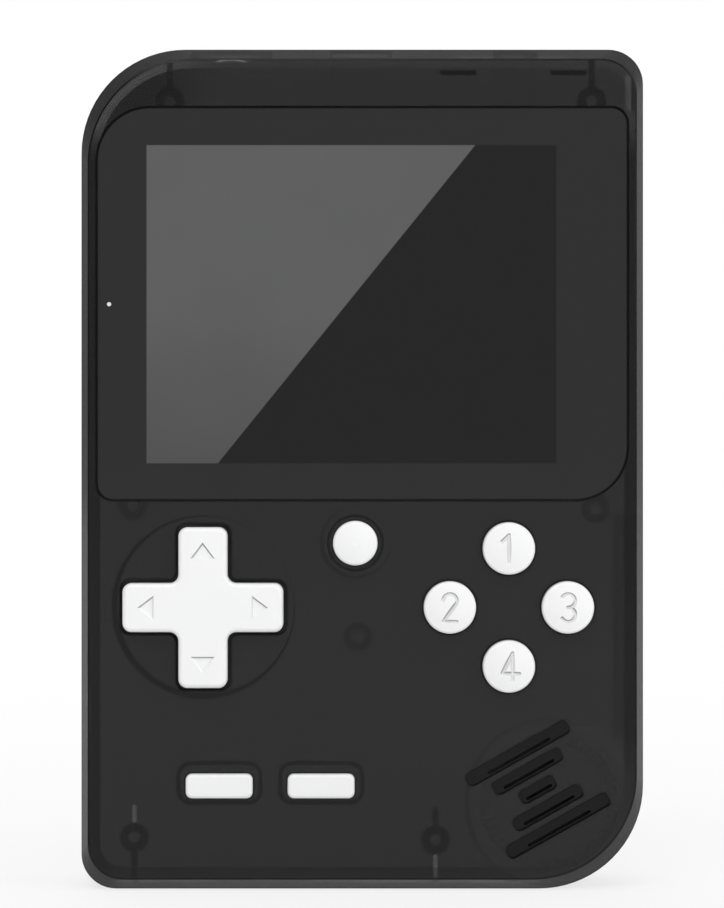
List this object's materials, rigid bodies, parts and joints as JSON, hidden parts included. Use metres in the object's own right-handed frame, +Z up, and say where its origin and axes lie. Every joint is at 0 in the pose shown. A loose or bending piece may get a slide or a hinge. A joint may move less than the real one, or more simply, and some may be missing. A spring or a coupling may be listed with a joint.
{
  "type": "handheld game console",
  "caption": "Slim upright handheld game console: wide screen above a direction pad and round action buttons, long menu buttons, louvred speaker, side volume wheel, rear battery door.",
  "frame": {"origin": "under the middle of the body on the lower edge, on the plane where the two shells meet", "axes": "+X to the player's right across the face, +Y from the face to the back, +Z up the height"},
  "size_m": [0.081, 0.0222, 0.121],
  "materials": {
    "smoke_plastic": "polished dark smoke tinted plastic",
    "lens_plastic": "hard polished dark cover",
    "display_glass": "smooth dark display",
    "light_guide": "clear moulded",
    "white_plastic": "satin white moulded",
    "soft_rubber": "silicone rubber",
    "black_foam": "closed cell foam and adhesive",
    "board_laminate": "solder mask over glass laminate",
    "black_moulding": "matt moulded",
    "ceramic_chip": "fired ceramic with tinned ends",
    "plated_steel": "plated pressed steel",
    "gold_contact": "gold plated spring metal",
    "cable_film": "amber film",
    "lead_insulation": "soft wire insulation",
    "cone_paper": "coated paper",
    "power_light": "clear encapsulated",
    "battery_wrap": "printed film wrap"
  },
  "bodies": {
    "console": {"front_shell": "smoke_plastic", "rear_shell": "smoke_plastic", "screen_lens": "lens_plastic", "lcd_panel": "display_glass", "lcd_backlight": "light_guide", "light_pipe": "light_guide", "dpad_membrane": "soft_rubber", "action_membrane": "soft_rubber", "reset_membrane": "soft_rubber", "menu_membrane": "soft_rubber", "lens_tape": "black_foam", "lcd_gasket": "black_foam", "speaker_gasket": "black_foam", "main_board": "board_laminate", "main_chip": "black_moulding", "flash_chip": "black_moulding", "lcd_connector": "black_moulding", "usb_tongue": "black_moulding", "jack_body": "black_moulding", "volume_pot": "black_moulding", "contact_block": "black_moulding", "chip_capacitors": "ceramic_chip", "clock_crystal": "plated_steel", "lcd_frame": "plated_steel", "switch_body": "plated_steel", "usb_socket": "plated_steel", "jack_bush": "plated_steel", "speaker_frame": "plated_steel", "speaker_magnet": "plated_steel", "shell_screws": "plated_steel", "board_screws": "plated_steel", "battery_contacts": "gold_contact", "lcd_ribbon": "cable_film", "speaker_leads": "lead_insulation", "speaker_cone": "cone_paper", "power_led": "power_light", "battery": "battery_wrap"},
    "direction_pad": {"direction_pad": "white_plastic"},
    "dpad_pivot": {"dpad_pivot": "plated_steel"},
    "button_top": {"button_top": "white_plastic"},
    "button_left": {"button_left": "white_plastic"},
    "button_right": {"button_right": "white_plastic"},
    "button_bottom": {"button_bottom": "white_plastic"},
    "reset_button": {"reset_button": "white_plastic"},
    "select_button": {"select_button": "white_plastic"},
    "start_button": {"start_button": "white_plastic"},
    "power_knob": {"power_knob": "white_plastic", "switch_lever": "black_moulding"},
    "volume_wheel": {"volume_wheel": "black_moulding", "wheel_shaft": "plated_steel", "wheel_screw": "plated_steel"},
    "battery_door": {"battery_door": "smoke_plastic"}
  },
  "joints": [
    {"name": "dpad_nod", "type": "hinge", "parent": "console", "child": "dpad_pivot", "pos_m": [-0.0228, -0.00465, 0.0407], "axis": [1, 0, 0], "range_deg": [-4, 4], "stiffness_Nm_per_rad": 0.13, "deforming": ["dpad_membrane"]},
    {"name": "dpad_rock", "type": "hinge", "parent": "dpad_pivot", "child": "direction_pad", "pos_m": [-0.0228, -0.00465, 0.0407], "axis": [0, 0, 1], "range_deg": [-4, 4], "stiffness_Nm_per_rad": 0.13, "deforming": ["dpad_membrane"]},
    {"name": "button_top_press", "type": "slide", "parent": "console", "child": "button_top", "axis": [0, 1, 0], "range_m": [0, 0.0012], "stiffness_N_per_m": 600, "springref_m": -0.0005, "deforming": ["action_membrane"]},
    {"name": "button_left_press", "type": "slide", "parent": "console", "child": "button_left", "axis": [0, 1, 0], "range_m": [0, 0.0012], "stiffness_N_per_m": 600, "springref_m": -0.0005, "deforming": ["action_membrane"]},
    {"name": "button_right_press", "type": "slide", "parent": "console", "child": "button_right", "axis": [0, 1, 0], "range_m": [0, 0.0012], "stiffness_N_per_m": 600, "springref_m": -0.0005, "deforming": ["action_membrane"]},
    {"name": "button_bottom_press", "type": "slide", "parent": "console", "child": "button_bottom", "axis": [0, 1, 0], "range_m": [0, 0.0012], "stiffness_N_per_m": 600, "springref_m": -0.0005, "deforming": ["action_membrane"]},
    {"name": "reset_button_press", "type": "slide", "parent": "console", "child": "reset_button", "axis": [0, 1, 0], "range_m": [0, 0.0012], "stiffness_N_per_m": 600, "springref_m": -0.0005, "deforming": ["reset_membrane"]},
    {"name": "select_button_press", "type": "slide", "parent": "console", "child": "select_button", "axis": [0, 1, 0], "range_m": [0, 0.0012], "stiffness_N_per_m": 600, "springref_m": -0.0005, "deforming": ["menu_membrane"]},
    {"name": "start_button_press", "type": "slide", "parent": "console", "child": "start_button", "axis": [0, 1, 0], "range_m": [0, 0.0012], "stiffness_N_per_m": 600, "springref_m": -0.0005, "deforming": ["menu_membrane"]},
    {"name": "power_slide", "type": "slide", "parent": "console", "child": "power_knob", "axis": [1, 0, 0], "range_m": [-0.002, 0.002]},
    {"name": "volume_turn", "type": "hinge", "parent": "console", "child": "volume_wheel", "pos_m": [-0.03425, 0.00095, 0.0252], "axis": [0, 1, 0], "range_deg": [-135, 135]},
    {"name": "door_tilt", "type": "hinge", "parent": "console", "child": "battery_door", "pos_m": [-0.004, 0.01, 0.0119], "axis": [-1, 0, 0], "range_deg": [0, 50]}
  ]
}
